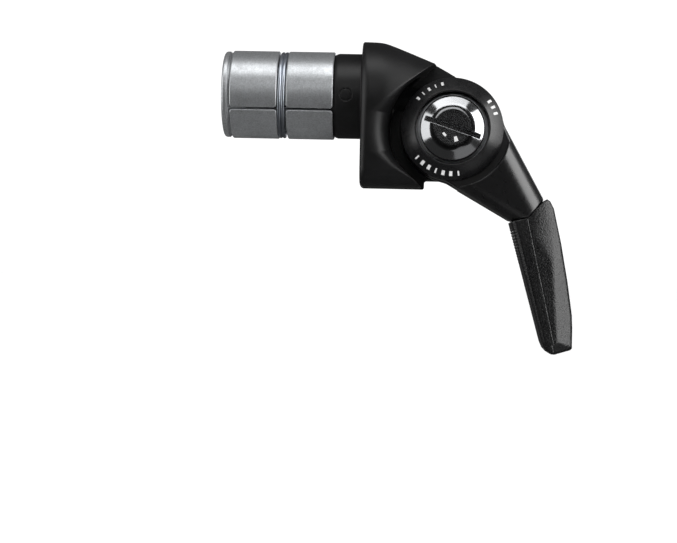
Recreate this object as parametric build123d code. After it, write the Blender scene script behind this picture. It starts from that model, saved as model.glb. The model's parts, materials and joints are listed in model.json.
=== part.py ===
from build123d import *
from math import acos, atan2, cos, degrees, hypot, radians, sin, tan
import os

# Bar-end shift lever. Millimetres. +X runs along the bar axis away from the handlebar, +Z is up,
# and -Y is the lever side. The origin is on the bar axis, at the shoulder that butts on the bar's end.

# ---- driving dimensions -------------------------------------------------------------------------
# Pivot of the lever, as x and z of an axis that runs along Y
PIVOT_X, PIVOT_Z = 20.6, -7.7

# Pod
COLLAR_R = 12.5
COLLAR_EDGE_R = 0.9
NECK_R, NECK_LENGTH = 9.7, 6.3
TAPER_START_X, TAPER_END_X, TAPER_END_R = 4.9, 22.0, 5.7
BULGE_BOTTOM_Z = -20.8
BULGE_CORNER_R = 4.5
BULGE_NEAR_Y, BULGE_FAR_Y = -9.5, 9.0
BULGE_END_X = 14.7
ARM_LOW_CENTRE_Z = -14.2
NECK_MARK_R, NECK_MARK_DEPTH, NECK_MARK_X, NECK_MARK_Z = 1.45, 0.15, -3.4, -0.65
ARM_END_R = 11.0
ARM_INNER_Y, ARM_OUTER_Y = 3.8, 11.8
ARM_CORNER = (17.3, 7.6)
ARM_EDGE_R = 3.2
NOTCH_X, NOTCH_Z = 15.6, -18.7
POCKET_R = 14.2
POCKET_OPENING_ANGLE = 130.8

# Cable path: housing socket below the bar, then a small hole that meets the drum at its tangent
CABLE_Y = -2.0
CABLE_HOLE_R = 0.9
HOUSING_R, HOUSING_DEPTH = 2.6, 7.5

# Boss, cap and washers, measured out from the bar axis plane towards the lever side
BOSS_R = 3.5
BOSS_FLANGE_R, BOSS_FLANGE_T = 6.3, 1.6
BOSS_OUTER_END = -8.0
BOSS_FREE_END = 8.5
BOSS_FLAT, KEY_FIT = 2.9, 0.05
CAP_R, CAP_T = 6.1, 2.2
CAP_RECESS_R = 6.4
BASE_WASHER_R, BASE_WASHER_T = 6.5, 0.5
STOP_PIN_R, STOP_PIN_CIRCLE_R = 0.9, 7.9
STOP_PIN_ANGLE, STOP_PIN_BOTTOM = 180.0, -7.4

# Lever hub and drum
HUB_R = 11.6
HUB_BACK, HUB_FRONT = -3.2, 7.0
DRUM_R, DRUM_GROOVE_OUTER_R, DRUM_GROOVE_WIDTH = 9.4, 12.4, 2.6
DRUM_GROOVE_ANGLES = (-195.0, -60.0)
CABLE_HEAD_R, CABLE_HEAD_DEPTH = 2.3, 6.0
RECESS_R, RECESS_FLOOR = 9.7, 3.8
BUSH_R, BUSH_BORE_R = 4.95, 3.55
LEVER_SWING = 90.0
STOP_SLOT_DEPTH = 1.8

# Lever arm: two straight edges that converge from the hub to the V-shaped end
ARM_CLEAR_R = 13.2
ARM_EDGE_OFFSET_TOP, ARM_EDGE_ANGLE_TOP, ARM_EDGE_LENGTH_TOP = 10.8, -59.7, 23.9
ARM_EDGE_OFFSET_LOW, ARM_EDGE_ANGLE_LOW, ARM_EDGE_LENGTH_LOW = 10.6, -30.2, 22.2
ARM_END_MID = (38.1, -27.2)
ARM_AXIS_ANGLE = -45.0
ARM_MID_Y = -1.0
ARM_HALF_T_HUB, ARM_HALF_T_END = 8.0, 5.4
ARM_BLEND_R = 3.0
TANG_WIDTH, TANG_T, TANG_LENGTH = 4.0, 3.4, 24.0
TANG_START, TANG_AIM = (37.5, -25.0), (45.8, -56.0)

# Grip: level sections as height, left x, right x and half thickness, then the cuts at its two ends
GRIP_SECTIONS = (
    (-22.0, 32.6, 43.4, 5.7), (-32.8, 35.6, 46.0, 5.6), (-43.0, 38.5, 48.0, 5.4), (-58.2, 42.8, 49.2, 5.0),
)
GRIP_LEFT_BEVEL, GRIP_RIGHT_BEVEL = 1.4, 2.2
GRIP_END_CUTS = (
    (30.0, -29.2), (38.17, -27.34), (42.09, -22.99), (43.9, -24.0), (52.0, -27.0),
    (52.0, -55.8), (49.1, -56.6), (44.5, -58.0), (42.9, -57.2), (41.9, -55.2), (30.0, -55.2),
)

# Indexing stack
PLATE_T, PLATE_BORE_R = 1.2, 5.0
BALL_R, BALL_CIRCLE_R, BALL_COUNT = 1.0, 6.9, 3
BALL_GROOVE_DEPTH, BALL_CLEARANCE = 0.5, 0.05
CLICK_ANGLE, CLICK_COUNT = 9.0, 11
DIMPLE_R = 0.75
DIMPLE_DEPTH = 0.25
CLIP_INNER_R, CLIP_OUTER_R, CLIP_T, CLIP_GAP_ANGLE = 9.0, 10.1, 0.6, 24.0
RETAINER_R, RETAINER_BOTTOM, RETAINER_TOP = 8.7, 5.3, 6.8
SPRING_WASHER_R, SPRING_WASHER_BORE_R, SPRING_WASHER_T, SPRING_WASHER_RISE = 7.6, 3.7, 0.4, 0.2
KEY_WASHER_R, KEY_WASHER_BOTTOM, KEY_WASHER_TOP = 7.6, 8.0, 8.6

# Cover ring and fixing bolt
COVER_R, COVER_BORE_R = 11.5, 8.1
COVER_RIM, COVER_TOP = 7.6, 10.6
COVER_SKIRT_BORE_R, COVER_SKIRT_DEPTH, COVER_LIP = 8.9, 1.0, 0.35
HEAD_R, HEAD_TOP, HEAD_FLAT_R, HEAD_BEVEL_DROP = 7.25, 11.9, 4.7, 1.85
DISH_R, DISH_DEPTH = 4.2, 0.15
FIX_SHANK_R, FIX_SHANK_END = 2.5, -4.0
SLOT_WIDTH, SLOT_DEPTH, SLOT_ANGLE = 1.1, 1.3, -18.0

# Expander
RAMP_ANGLE = 25.0
SEGMENT_R, SEGMENT_LEFT, SEGMENT_RIGHT = 10.0, -29.6, -6.3
SEGMENT_GAP = 0.45
SEGMENT_EDGE, SEGMENT_END_EDGE = 0.45, 0.15
GAP_ANGLES = (-144.5, 95.5, -24.5)  # from the lever side, 90 is up
SPRING_LEFT, SPRING_RIGHT = -18.95, -16.85
SPRING_ROOT_R, SPRING_MID_R, SPRING_WIRE_R, SPRING_TURNS = 8.25, 9.45, 0.42, 2
RAMP_R = 9.3
RAMP_CLEARANCE = 0.4
KEEL_HALF_WIDTH, KEEL_CLEARANCE = 1.1, 0.03
NECK_RAMP_END, WEDGE_RAMP_END = -13.4, -22.8
BORE_IN_SEGMENT_R = 6.2
WEDGE_RIM_R, WEDGE_END, WEDGE_BEAD_END, WEDGE_DISH_R = 9.8, -31.5, -30.2, 6.5
BEAD_ROOM_DEPTH, BEAD_ROOM_R = 0.95, 9.5  # counterbore that the wedge's bead enters as the plug expands
KEY_BOTTOM_R, KEY_TOP_R, KEY_WIDTH, KEY_LENGTH = 7.0, 9.5, 0.3, 4.0
EXP_BOLT_R, EXP_BOLT_END = 3.0, -30.8
EXP_BORE_R = 3.4
EXP_HEAD_R, EXP_HEAD_SEAT, EXP_HEAD_TOP = 4.4, -4.0, 2.0
EXP_SOCKET_AF, EXP_SOCKET_DEPTH = 6.0, 3.4
EXP_WASHER_T = 1.0
ACCESS_R = 4.6
THREAD_CLEARANCE = 0.03

BIG = 60.0


# ---- placing ------------------------------------------------------------------------------------
def sideways(shape):
    """Turns local x, y, z into x, z and -y, so that a sketch lies in the side view."""
    return Rot(90, 0, 0) * shape


def on_pivot(shape):
    """Places what is turned about local z on the lever's pivot, local z towards the lever side."""
    return Pos(PIVOT_X, 0, PIVOT_Z) * sideways(shape)


def on_bar(shape):
    """Turns local z into +X."""
    return Rot(0, 90, 0) * shape


def disc(radius, low, high):
    return Pos(0, 0, low) * Cylinder(radius, high - low, align=(Align.CENTER, Align.CENTER, Align.MIN))


def ring(outer, inner, low, high):
    return disc(outer, low, high) - disc(inner, low - 1, high + 1)


def turned(points):
    """Turns a closed outline of radius and height about local z."""
    outline = Plane.XZ * make_face(Polyline(*points, close=True))
    return revolve(outline, Axis.Z)


def prism(points, low, high):
    """Extrudes a closed outline along local z."""
    return Pos(0, 0, low) * extrude(make_face(Polyline(*points, close=True)), high - low)


def polar(radius, angle, centre=(0, 0)):
    return (centre[0] + radius * cos(radians(angle)), centre[1] + radius * sin(radians(angle)))


PIVOT = (PIVOT_X, PIVOT_Z)


# ---- pod ----------------------------------------------------------------------------------------
def pod_section(radius):
    """Section across the bar axis: the collar's circle drawn down to the housing bulge."""
    low_z = BULGE_BOTTOM_Z + BULGE_CORNER_R
    circles = [
        Circle(radius).edge(),
        (Pos(BULGE_NEAR_Y + BULGE_CORNER_R, low_z) * Circle(BULGE_CORNER_R)).edge(),
        (Pos(BULGE_FAR_Y - BULGE_CORNER_R, low_z) * Circle(BULGE_CORNER_R)).edge(),
    ]
    return make_hull(circles)


def arm_end_arc():
    """Round end of the pivot arm, from where the tangent out of the arm's corner touches it."""
    dx, dz = ARM_CORNER[0] - PIVOT_X, ARM_CORNER[1] - PIVOT_Z
    touch = degrees(atan2(dz, dx)) - degrees(acos(ARM_END_R / hypot(dx, dz)))
    return [polar(ARM_END_R, angle, PIVOT) for angle in (touch, (touch - 90) / 2, -90)]


def pod_outline():
    top, middle, bottom = arm_end_arc()
    edges = Polyline((0, BIG), (5.0, BIG), (5.0, COLLAR_R + 0.1), ARM_CORNER, top)
    edges += ThreePointArc(top, middle, bottom)
    edges += Polyline(
        bottom, (NOTCH_X, NOTCH_Z), (BULGE_END_X, NOTCH_Z - 0.8), (BULGE_END_X, -BIG), (0, -BIG), (0, BIG)
    )
    return make_face(edges)


def pod_arm():
    """Slab behind the lever that carries the pivot, with a round end."""
    top, middle, bottom = arm_end_arc()
    edges = Polyline((2.0, 5.0), (5.0, COLLAR_R), ARM_CORNER, top)
    edges += ThreePointArc(top, middle, bottom)
    edges += Polyline(bottom, (NOTCH_X, bottom[1]), (14.6, -12.5), (9.5, -7.0), (2.0, -3.5), (2.0, 5.0))
    slab = sideways(Pos(0, 0, -ARM_OUTER_Y) * extrude(make_face(edges), ARM_OUTER_Y - ARM_INNER_Y))
    outer_edges = slab.faces().sort_by(Axis.Y)[-1].edges()
    return fillet([e for e in outer_edges if e.center().X > ARM_CORNER[0] - 6], ARM_EDGE_R)


def pocket():
    """Room for the hub: a round pocket that opens forwards along its two tangents."""
    upper = polar(POCKET_R, POCKET_OPENING_ANGLE)
    lower = polar(POCKET_R, -POCKET_OPENING_ANGLE)
    far_up = polar(BIG, POCKET_OPENING_ANGLE - 90, upper)
    far_low = (far_up[0], -far_up[1])
    edges = Polyline(upper, far_up, far_low, lower)
    edges += ThreePointArc(lower, (-POCKET_R, 0), upper)
    return on_pivot(Pos(0, 0, -ARM_INNER_Y) * extrude(make_face(edges), BIG))


def shoulder_edges(body):
    return [e for e in body.edges() if abs(e.bounding_box().max.X) < 1e-4 and e.length > 3.0]


def pod_shell():
    """Collar and housing bulge as one tapering body, with the pivot arm, trimmed to the side outline."""
    taper_start = Plane.YZ.offset(TAPER_START_X) * pod_section(COLLAR_R)
    taper_end = Plane.YZ.offset(TAPER_END_X) * pod_section(TAPER_END_R)
    taper = loft([taper_start, taper_end], ruled=True)
    envelope = extrude(Plane.YZ * make_hull([
        Circle(COLLAR_R).edge(),
        (Pos(ARM_OUTER_Y - BULGE_CORNER_R, ARM_LOW_CENTRE_Z) * Circle(BULGE_CORNER_R)).edge(),
    ]), BIG)
    body = extrude(Plane.YZ * pod_section(COLLAR_R), TAPER_START_X) + taper + (pod_arm() & envelope)
    body &= sideways(Pos(0, 0, -BIG) * extrude(pod_outline(), 2 * BIG))
    return body - pocket()


def pod_body():
    body = pod_shell()
    body = fillet(shoulder_edges(body), COLLAR_EDGE_R)
    neck_mark = Pos(NECK_MARK_X, NECK_MARK_Z, NECK_R - NECK_MARK_DEPTH) * disc(NECK_MARK_R, 0, 1)
    # Stub neck with the cone that the segments climb
    cone_tip_r = RAMP_R + (NECK_RAMP_END + NECK_LENGTH) * tan(radians(RAMP_ANGLE))
    body += on_bar(turned([
        (0, NECK_RAMP_END), (cone_tip_r, NECK_RAMP_END), (NECK_R, ramp_run(NECK_R) - NECK_LENGTH),
        (NECK_R, 1.0), (0, 1.0),
    ]))
    body -= sideways(neck_mark)
    # Bolt passage, bolt head counterbore and hex key access in one line
    body -= on_bar(disc(EXP_BORE_R, NECK_RAMP_END - 1, 0))
    body -= on_bar(disc(ACCESS_R, EXP_HEAD_SEAT - EXP_WASHER_T, BIG))
    # Cable housing socket and cable hole
    cable_z = PIVOT_Z - DRUM_R - CABLE_HOLE_R + 0.3
    cable_way = disc(HOUSING_R, -1, HOUSING_DEPTH) + disc(CABLE_HOLE_R, 0, BIG / 2)
    body -= Pos(0, CABLE_Y, cable_z) * on_bar(cable_way)
    # Pivot: bore for the boss, counterbore for its flange and cap, hole for the stop pin
    body -= on_pivot(disc(BOSS_R, -BIG, 0) + disc(CAP_RECESS_R, -BIG, BOSS_OUTER_END))
    body -= on_pivot(Pos(*polar(STOP_PIN_CIRCLE_R, STOP_PIN_ANGLE)) * disc(STOP_PIN_R, STOP_PIN_BOTTOM, 0))
    return body


def ramp_run(radius):
    """Length along the bar over which a cone grows from its nominal radius to this one."""
    return (radius - RAMP_R) / tan(radians(RAMP_ANGLE))


# ---- boss and indexing stack --------------------------------------------------------------------
def flats(low, high, room=0.0):
    """Two side blocks whose removal leaves the double-D end of the boss."""
    block = Box(4 * BOSS_R, 4 * BOSS_R, high - low, align=(Align.CENTER, Align.MIN, Align.MIN))
    block = Pos(0, BOSS_FLAT + room, low) * block
    return block + Rot(0, 0, 180) * block


def lever_boss():
    body = disc(BOSS_R, BOSS_OUTER_END, BOSS_FREE_END)
    body += disc(BOSS_FLANGE_R, BOSS_OUTER_END - BOSS_FLANGE_T, BOSS_OUTER_END)
    body -= flats(RETAINER_BOTTOM - 0.1, BOSS_FREE_END + 1)
    body -= disc(FIX_SHANK_R, FIX_SHANK_END - 1, BOSS_FREE_END + 1)
    return on_pivot(body)


def double_d_hole(low, high):
    """Hole that fits the boss's end with a little room."""
    return disc(BOSS_R + KEY_FIT, low - 1, high + 1) - flats(low - 2, high + 2, KEY_FIT)


def boss_cap():
    base = BOSS_OUTER_END - BOSS_FLANGE_T
    body = disc(CAP_R, base - CAP_T, base)
    return on_pivot(chamfer(body.faces().sort_by(Axis.Z)[0].edges(), 0.3))


def base_washer():
    return on_pivot(ring(BASE_WASHER_R, BOSS_R + 0.1, -ARM_INNER_Y, -ARM_INNER_Y + BASE_WASHER_T))


def stop_pin():
    pin = disc(STOP_PIN_R, STOP_PIN_BOTTOM, HUB_BACK + STOP_SLOT_DEPTH - 0.3)
    return on_pivot(Pos(*polar(STOP_PIN_CIRCLE_R, STOP_PIN_ANGLE)) * pin)


def ball_places():
    return [polar(BALL_CIRCLE_R, 90 + 360 / BALL_COUNT * i) for i in range(BALL_COUNT)]


BALL_Z = RECESS_FLOOR + PLATE_T - BALL_GROOVE_DEPTH + BALL_R + BALL_CLEARANCE


def ball_retainer():
    body = disc(RETAINER_R, RETAINER_BOTTOM, RETAINER_TOP) - double_d_hole(RETAINER_BOTTOM, RETAINER_TOP)
    hole = disc(BALL_R + BALL_CLEARANCE, RETAINER_BOTTOM - 1, BALL_Z + BALL_R + BALL_CLEARANCE)
    for x, y in ball_places():
        body -= Pos(x, y, 0) * hole
    return on_pivot(body)


def detent_balls():
    return on_pivot(Compound([Pos(x, y, BALL_Z) * Sphere(BALL_R) for x, y in ball_places()]))


def spring_washers():
    inner, outer, t, rise = SPRING_WASHER_BORE_R, SPRING_WASHER_R, SPRING_WASHER_T, SPRING_WASHER_RISE
    low = RETAINER_TOP
    lower = turned([(inner, low + rise), (outer, low), (outer, low + t), (inner, low + rise + t)])
    low += rise + t
    upper = turned([(inner, low), (outer, low + rise), (outer, low + rise + t), (inner, low + t)])
    return on_pivot(Compound([lower, upper]))


def key_washer():
    body = disc(KEY_WASHER_R, KEY_WASHER_BOTTOM, KEY_WASHER_TOP)
    return on_pivot(body - double_d_hole(KEY_WASHER_BOTTOM, KEY_WASHER_TOP))


def fixing_bolt():
    seat = KEY_WASHER_TOP
    head = turned([
        (0, seat), (HEAD_R, seat), (HEAD_R, HEAD_TOP - HEAD_BEVEL_DROP),
        (HEAD_FLAT_R, HEAD_TOP), (0, HEAD_TOP),
    ])
    dish_r = (DISH_R**2 + DISH_DEPTH**2) / (2 * DISH_DEPTH)
    head -= Pos(0, 0, HEAD_TOP + dish_r - DISH_DEPTH) * Sphere(dish_r)
    slot = Box(4 * HEAD_R, SLOT_WIDTH, 2 * SLOT_DEPTH)
    head -= Pos(0, 0, HEAD_TOP) * Rot(0, 0, SLOT_ANGLE) * slot
    return on_pivot(head + disc(FIX_SHANK_R, FIX_SHANK_END, seat))


# ---- lever --------------------------------------------------------------------------------------
def arm_outline():
    top_start = polar(ARM_EDGE_OFFSET_TOP, ARM_EDGE_ANGLE_TOP + 90, PIVOT)
    low_start = polar(ARM_EDGE_OFFSET_LOW, ARM_EDGE_ANGLE_LOW - 90, PIVOT)
    top_end = polar(ARM_EDGE_LENGTH_TOP, ARM_EDGE_ANGLE_TOP, top_start)
    low_end = polar(ARM_EDGE_LENGTH_LOW, ARM_EDGE_ANGLE_LOW, low_start)
    return [PIVOT, top_start, top_end, ARM_END_MID, low_end, low_start]


def arm_thickness():
    """Tapering slab that sets the arm's thickness, thick at the hub and thin at the grip."""
    end = hypot(ARM_END_MID[0] - PIVOT_X, ARM_END_MID[1] - PIVOT_Z)
    slope = (ARM_HALF_T_HUB - ARM_HALF_T_END) / (end - ARM_CLEAR_R)
    near, far = 0.0, end + 4
    half_near = ARM_HALF_T_HUB + slope * ARM_CLEAR_R
    half_far = ARM_HALF_T_END - slope * 4
    # Drawn in the plane of the arm's axis and Y, then widened to both sides
    side = Polyline((near, -half_near), (far, -half_far), (far, half_far), (near, half_near), close=True)
    solid = extrude(make_face(side), BIG, both=True)
    return Pos(PIVOT_X, ARM_MID_Y, PIVOT_Z) * Rot(0, -ARM_AXIS_ANGLE, 0) * solid


def tang():
    """Blade that the grip is moulded over."""
    angle = degrees(atan2(TANG_AIM[1] - TANG_START[1], TANG_AIM[0] - TANG_START[0]))
    blade = Box(TANG_LENGTH, TANG_T, TANG_WIDTH, align=(Align.MIN, Align.CENTER, Align.CENTER))
    return Pos(TANG_START[0], ARM_MID_Y, TANG_START[1]) * Rot(0, -angle, 0) * blade


def pie(radius, start, end, low, high):
    """Sector of a disc between two angles less than 180 degrees apart."""
    middle = polar(radius, (start + end) / 2)
    edges = Polyline(polar(radius, end), (0, 0), polar(radius, start))
    edges += ThreePointArc(polar(radius, start), middle, polar(radius, end))
    return Pos(0, 0, low) * extrude(make_face(edges), high - low)


def drum_groove():
    low, high = -CABLE_Y - DRUM_GROOVE_WIDTH / 2, -CABLE_Y + DRUM_GROOVE_WIDTH / 2
    sector = pie(DRUM_GROOVE_OUTER_R, *DRUM_GROOVE_ANGLES, low, high)
    return on_pivot(sector - disc(DRUM_R, low - 1, high + 1))


def stop_slot():
    """Arc slot in the hub's back face. The fixed pin meets its two ends at the limits of the swing."""
    low, high, half = HUB_BACK - 1, HUB_BACK + STOP_SLOT_DEPTH, STOP_PIN_R + 0.1
    end = STOP_PIN_ANGLE - LEVER_SWING
    slot = pie(STOP_PIN_CIRCLE_R + half, end, STOP_PIN_ANGLE, low, high)
    slot -= disc(STOP_PIN_CIRCLE_R - half, low - 1, high + 1)
    for angle in (end, STOP_PIN_ANGLE):
        slot += Pos(*polar(STOP_PIN_CIRCLE_R, angle)) * disc(half, low, high)
    return on_pivot(slot)


def cable_head_seat():
    """Stepped hole, square to the arm's top edge, that ends as a tangent of the drum."""
    angle = ARM_EDGE_ANGLE_TOP + 90
    seat_floor = ARM_EDGE_OFFSET_TOP - CABLE_HEAD_DEPTH
    hole = disc(CABLE_HEAD_R, seat_floor, BIG) + disc(CABLE_HOLE_R, 0, BIG)
    along = Rot(0, 90 - angle, 0) * hole
    start = polar(DRUM_R + CABLE_HOLE_R, angle - 90, PIVOT)
    return Pos(start[0], CABLE_Y, start[1]) * along


def lever_arm():
    blank = sideways(Pos(0, 0, -BIG) * extrude(make_face(Polyline(*arm_outline(), close=True)), 2 * BIG))
    arm = blank & arm_thickness()
    long_edges = [
        e for e in arm.edges()
        if e.length > 15 and e.center().X > PIVOT_X + 2 and e.bounding_box().size.X > 3
    ]
    arm = fillet(long_edges, ARM_BLEND_R)
    arm -= on_pivot(disc(ARM_CLEAR_R, HUB_FRONT, BIG) + disc(ARM_CLEAR_R, -BIG, HUB_BACK))
    hub = disc(HUB_R, HUB_BACK, HUB_FRONT)
    body = on_pivot(hub) + arm
    body -= drum_groove()
    body -= on_pivot(disc(BUSH_R, HUB_BACK - 1, HUB_FRONT + 1))
    body -= on_pivot(disc(RECESS_R, RECESS_FLOOR, HUB_FRONT + 1))
    body -= on_pivot(ring(CLIP_OUTER_R, CLIP_INNER_R, CLIP_Z, CLIP_Z + CLIP_T))
    body -= stop_slot()
    body -= cable_head_seat()
    return body + tang()


def boss_bush():
    return on_pivot(ring(BUSH_R, BUSH_BORE_R, HUB_BACK, RECESS_FLOOR))


def detent_plate():
    top = RECESS_FLOOR + PLATE_T
    floor = top - BALL_GROOVE_DEPTH
    body = ring(RECESS_R, PLATE_BORE_R, RECESS_FLOOR, top)
    body -= ring(BALL_CIRCLE_R + BALL_R + 0.1, BALL_CIRCLE_R - BALL_R - 0.1, floor, top + 1)
    for ball in range(BALL_COUNT):
        for click in range(CLICK_COUNT):
            angle = 90 + 360 / BALL_COUNT * ball - CLICK_ANGLE * click
            body -= Pos(*polar(BALL_CIRCLE_R, angle), floor + DIMPLE_R - DIMPLE_DEPTH) * Sphere(DIMPLE_R)
    return on_pivot(body)


CLIP_Z = RECESS_FLOOR + PLATE_T


def plate_clip():
    """Internal snap ring, open at the top, that keeps the detent plate in the hub."""
    half = CLIP_GAP_ANGLE / 2
    opening = pie(CLIP_OUTER_R + 1, 90 - half, 90 + half, CLIP_Z - 1, CLIP_Z + CLIP_T + 1)
    return on_pivot(ring(CLIP_OUTER_R, CLIP_INNER_R, CLIP_Z, CLIP_Z + CLIP_T) - opening)


def cover_ring():
    skirt = HUB_FRONT - COVER_SKIRT_DEPTH
    body = turned([
        (COVER_SKIRT_BORE_R, skirt), (RECESS_R, skirt), (RECESS_R, HUB_FRONT), (COVER_R, HUB_FRONT),
        (COVER_R, COVER_RIM), (COVER_BORE_R + COVER_LIP, COVER_TOP), (COVER_BORE_R, COVER_TOP),
        (COVER_BORE_R, HUB_FRONT), (COVER_SKIRT_BORE_R, HUB_FRONT),
    ])
    return on_pivot(body)


def grip_section(z, left, right, half):
    low, high = GRIP_LEFT_BEVEL, GRIP_RIGHT_BEVEL
    corners = [(left, half - low), (left + low, half), (right - high, half), (right, half - high)]
    corners += [(x, -y) for x, y in reversed(corners)]
    return Pos(0, ARM_MID_Y, z) * make_face(Polyline(*corners, close=True))


def lever_grip():
    """Bevelled grip shell around the tang, cut to the arm's V at its root and rounded off at its tip."""
    blank = loft([grip_section(*section) for section in GRIP_SECTIONS], ruled=True)
    cuts = sideways(Pos(0, 0, -BIG) * extrude(make_face(Polyline(*GRIP_END_CUTS, close=True)), 2 * BIG))
    return (blank & cuts) - tang()


# ---- expander -----------------------------------------------------------------------------------
def around_bar(shape, angle):
    """Places a shape that points along local x. Angle 0 faces the lever side, 90 is up."""
    return Rot(-(angle + 90), 0, 0) * on_bar(shape)


def segment_profile():
    cone_length = (RAMP_R + RAMP_CLEARANCE - BORE_IN_SEGMENT_R) / tan(radians(RAMP_ANGLE))
    edge, lip_edge, r = SEGMENT_EDGE, SEGMENT_END_EDGE, SEGMENT_R
    inner = RAMP_R + RAMP_CLEARANCE
    room_end_r = inner - BEAD_ROOM_DEPTH * tan(radians(RAMP_ANGLE))
    return [
        (inner, SEGMENT_LEFT), (r - lip_edge, SEGMENT_LEFT), (r, SEGMENT_LEFT + lip_edge),
        (r, SPRING_LEFT - edge), (r - edge, SPRING_LEFT), (SPRING_ROOT_R, SPRING_LEFT),
        (SPRING_ROOT_R, SPRING_RIGHT), (r - edge, SPRING_RIGHT), (r, SPRING_RIGHT + edge),
        (r, SEGMENT_RIGHT - lip_edge), (r - lip_edge, SEGMENT_RIGHT), (inner, SEGMENT_RIGHT),
        (BORE_IN_SEGMENT_R, SEGMENT_RIGHT - cone_length), (BORE_IN_SEGMENT_R, SEGMENT_LEFT + cone_length),
        (room_end_r, SEGMENT_LEFT + BEAD_ROOM_DEPTH), (BEAD_ROOM_R, SEGMENT_LEFT + BEAD_ROOM_DEPTH),
    ]


def keels():
    """Narrow lands in the middle of a segment that bear on the two cones."""
    slope = tan(radians(RAMP_ANGLE))
    root = RAMP_CLEARANCE + 0.4
    lands = []
    for end, sign in ((SEGMENT_LEFT, 1), (SEGMENT_RIGHT, -1)):
        corners = ((2.1, KEEL_CLEARANCE), (6.0, KEEL_CLEARANCE), (6.0, root), (2.1, root))
        points = [(RAMP_R - depth * slope + rise, end + sign * depth) for depth, rise in corners]
        lands.append(turned(points) & Pos(0, 0, end) * Box(4 * SEGMENT_R, 2 * KEEL_HALF_WIDTH, BIG))
    half = Pos(2 * SEGMENT_R, 0, (SEGMENT_LEFT + SEGMENT_RIGHT) / 2) * Box(4 * SEGMENT_R, BIG, BIG)
    return (lands[0] + lands[1]) & half


def expander_segment(middle_angle):
    apex = SEGMENT_GAP / 2 / sin(radians(60))
    reach = 3 * SEGMENT_R
    sector = prism(
        [(apex, 0), (apex + reach * cos(radians(60)), reach * sin(radians(60))),
         (apex + reach * cos(radians(60)), -reach * sin(radians(60)))],
        SEGMENT_LEFT - 1, SEGMENT_RIGHT + 1,
    )
    return around_bar((turned(segment_profile()) & sector) + keels(), middle_angle)


def wedge_plug():
    slope = tan(radians(RAMP_ANGLE))
    tip_r = RAMP_R - (WEDGE_RAMP_END - SEGMENT_LEFT) * slope
    ramp_start_r = RAMP_R + (SEGMENT_LEFT - WEDGE_BEAD_END) * slope
    body = turned([
        (0, WEDGE_END), (WEDGE_RIM_R - 0.4, WEDGE_END), (WEDGE_RIM_R, WEDGE_END + 0.4),
        (WEDGE_RIM_R, WEDGE_BEAD_END), (ramp_start_r, WEDGE_BEAD_END), (tip_r, WEDGE_RAMP_END),
        (0, WEDGE_RAMP_END),
    ])
    body -= disc(EXP_BOLT_R + THREAD_CLEARANCE, WEDGE_END - 1, WEDGE_RAMP_END + 1)
    body -= disc(WEDGE_DISH_R, WEDGE_END - 1, WEDGE_END + 0.6)
    key = Box(KEY_TOP_R - KEY_BOTTOM_R, KEY_WIDTH, KEY_LENGTH, align=(Align.MIN, Align.CENTER, Align.MIN))
    body += Pos(KEY_BOTTOM_R, 0, SEGMENT_LEFT - 0.5) * key
    return around_bar(body, GAP_ANGLES[2])


def expander_bolt():
    body = disc(EXP_BOLT_R, EXP_BOLT_END, EXP_HEAD_SEAT) + disc(EXP_HEAD_R, EXP_HEAD_SEAT, EXP_HEAD_TOP)
    body = chamfer(body.edges().sort_by(Axis.Z)[0], 0.5)
    socket = extrude(RegularPolygon(EXP_SOCKET_AF / 2, 6, major_radius=False), EXP_SOCKET_DEPTH + 1)
    return on_bar(body - Pos(0, 0, EXP_HEAD_TOP - EXP_SOCKET_DEPTH) * socket)


def bolt_washer():
    return on_bar(ring(ACCESS_R - 0.1, EXP_BOLT_R + 0.2, EXP_HEAD_SEAT - EXP_WASHER_T, EXP_HEAD_SEAT))


def expander_spring():
    """Close-wound wire ring in the middle groove of the segments."""
    middle = (SPRING_LEFT + SPRING_RIGHT) / 2
    pitch = 2 * SPRING_WIRE_R * 0.94
    section = Sketch()
    for turn in range(SPRING_TURNS):
        z = middle + (turn - (SPRING_TURNS - 1) / 2) * pitch
        section += Pos(SPRING_MID_R, z) * Circle(SPRING_WIRE_R)
    return on_bar(revolve(Plane.XZ * section, Axis.Z))


# ---- writing ------------------------------------------------------------------------------------
MAKERS = {
    "pod_body": pod_body,
    "lever_boss": lever_boss,
    "boss_cap": boss_cap,
    "base_washer": base_washer,
    "stop_pin": stop_pin,
    "ball_retainer": ball_retainer,
    "detent_balls": detent_balls,
    "spring_washers": spring_washers,
    "key_washer": key_washer,
    "fixing_bolt": fixing_bolt,
    "bolt_washer": bolt_washer,
    "lever_arm": lever_arm,
    "lever_grip": lever_grip,
    "boss_bush": boss_bush,
    "detent_plate": detent_plate,
    "plate_clip": plate_clip,
    "cover_ring": cover_ring,
    "expander_bolt": expander_bolt,
    "wedge_plug": wedge_plug,
    "expander_spring": expander_spring,
}

os.makedirs("parts", exist_ok=True)
for node, maker in MAKERS.items():
    export_step(maker(), f"parts/{node}.step")
for number, gap_angle in enumerate(GAP_ANGLES, start=1):
    export_step(expander_segment(gap_angle + 60), f"parts/expander_segment_{number}.step")
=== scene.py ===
"""Looks of a bar-end shift lever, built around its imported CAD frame. Shape sizes are in millimetres."""

import json
import math

import bmesh
import bpy
import numpy as np
import openvdb
from mathutils import Matrix, Vector


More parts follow.
